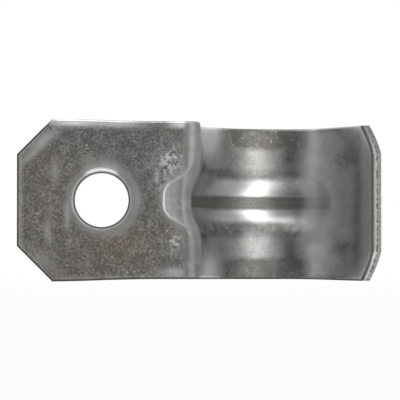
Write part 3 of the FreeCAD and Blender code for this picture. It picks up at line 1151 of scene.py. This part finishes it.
def seen_directly(tree):
    """1 for rays that show a thing to the camera or in a reflection, else 0."""
    path = tree.add("ShaderNodeLightPath")
    found = path.outputs[SEEN_BY[0]]
    for name in SEEN_BY[1:]:
        found = tree.math("MAXIMUM", found, path.outputs[name])
    return found


def white_surround(level):
    """A world that looks white and lights the scene at a level below that."""
    world = bpy.data.worlds.new("surround")
    scene.world = world
    world.use_nodes = True
    world.node_tree.nodes.clear()
    tree = Tree(world.node_tree)
    colour = tree.mix(seen_directly(tree), (level, level, level), (1.0, 1.0, 1.0))
    back = tree.add("ShaderNodeBackground", {"Color": colour})
    out = tree.add("ShaderNodeOutputWorld")
    tree.join(back.outputs[0], out.inputs["Surface"])


white_surround(SURROUND)
print("world:", scene.world.name)


# %% Paper and cloth
PAPER, CLOTH = 0.9, 0.12
GLOW = 0.95  # how much of the paper's look is plain white


def flat_material(name, level):
    """A grey of one level, fully rough and without gloss."""
    material, tree, shader = new_material(name)
    shader.inputs["Base Color"].default_value = (level, level, level, 1)
    shader.inputs["Roughness"].default_value = 1.0
    shader.inputs["Specular IOR Level"].default_value = 0
    return material, tree, shader


def paper_material(glow):
    """White paper that the camera and reflections see mostly as white, with the shadow faint on it."""
    material, tree, shader = flat_material("white_paper", PAPER)
    light = tree.add("ShaderNodeEmission", {"Color": (1.0, 1.0, 1.0), "Strength": 1.0})
    share = tree.math("MULTIPLY", seen_directly(tree), glow)
    mixed = tree.add("ShaderNodeMixShader", {0: share})
    tree.join(shader.outputs[0], mixed.inputs[1])
    tree.join(light.outputs[0], mixed.inputs[2])
    tree.join(mixed.outputs[0], material.node_tree.nodes["Material Output"].inputs["Surface"])
    return material


white_paper = paper_material(GLOW)
grey_cloth, _, _ = flat_material("grey_cloth", CLOTH)
print("stage materials:", white_paper.name, grey_cloth.name)

# %% Floor and cards
WIDE = 900  # half the floor's side
FLOOR_Z = low[2] - 0.01  # just clear of the strap
CARD_BOTTOM, CARD_TOP = -600, 700
CARDS = {  # name: start and end on the floor, as (x, y)
    "card_behind_camera": ((-320, -430), (320, -430)),
    "card_right": ((320, -430), (430, 60)),
    "card_left": ((-320, -430), (-430, 60)),
}


def card(name, corners, material, seen=False):
    """A flat stage piece from four corners in millimetres."""
    mesh = bpy.data.meshes.new(name)
    mesh.from_pydata([tuple(Vector(corner) * METRE) for corner in corners], [], [(0, 1, 2, 3)])
    mesh.materials.append(material)
    made = bpy.data.objects.new(name, mesh)
    scene.collection.objects.link(made)
    made.visible_camera = seen
    return made


square = [(-1, -1), (1, -1), (1, 1), (-1, 1)]
corners = [(WIDE * right, WIDE * back, FLOOR_Z) for right, back in square]
floor = card("floor", corners, white_paper, seen=True)
floor.visible_shadow = False  # lets the lamp below shine through
floor.visible_glossy = False  # reflections show the white surround instead
for name, (start, end) in CARDS.items():
    corners = [(*start, CARD_BOTTOM), (*end, CARD_BOTTOM), (*end, CARD_TOP), (*start, CARD_TOP)]
    card(name, corners, grey_cloth)
print("floor at z", round(FLOOR_Z, 3), "cards:", list(CARDS))

# %% Lamps
LAMP_DISTANCE = 280
SOFTBOXES = [  # name, degrees to the right, degrees up, width and height in millimetres, watts
    ("softbox_right", 41, 0, 70, 560, 0.68),
    ("softbox_left", -36, 0, 45, 380, 0.10),
    ("softbox_above", 0, 72, 240, 160, 0.35),
    ("softbox_below", 0, -72, 240, 160, 0.15),
]


def softbox(name, azimuth, elevation, width, height, power):
    """Area lamp that faces the strap."""
    turn, rise = math.radians(azimuth), math.radians(elevation)
    level = LAMP_DISTANCE * math.cos(rise)
    spot = Vector((level * math.sin(turn), -level * math.cos(turn), LAMP_DISTANCE * math.sin(rise)))
    data = bpy.data.lights.new(name, "AREA")
    data.shape = "RECTANGLE"
    data.size, data.size_y = width * METRE, height * METRE
    data.energy = power
    made = bpy.data.objects.new(name, data)
    scene.collection.objects.link(made)
    made.location = spot * METRE
    made.rotation_euler = spot.to_track_quat("Z", "Y").to_euler()


for lamp in SOFTBOXES:
    softbox(*lamp)

# %% [markdown]
# ## Camera
#
# A long lens looks square at the inside of the strap from almost floor level, so that the tab keeps
# its true outline and its edges hardly show.

# %% Camera
LENS, SENSOR = 283, 36
CAMERA_DISTANCE = 367
VIEW_X, EYE_RISE = -10.4, 0.4

camera_data = bpy.data.cameras.new("camera")
camera_data.lens = LENS
camera_data.sensor_width = SENSOR
camera_data.clip_start = 10 * METRE
camera = bpy.data.objects.new("camera", camera_data)
scene.collection.objects.link(camera)
scene.camera = camera
eye = Vector((VIEW_X, WALL_Y - CAMERA_DISTANCE, low[2] + EYE_RISE))
aim = Vector((VIEW_X, WALL_Y, 0))
camera.location = eye * METRE
camera.rotation_euler = (eye - aim).to_track_quat("Z", "Y").to_euler()
print("camera at, mm:", [round(value, 1) for value in eye])

# %% [markdown]
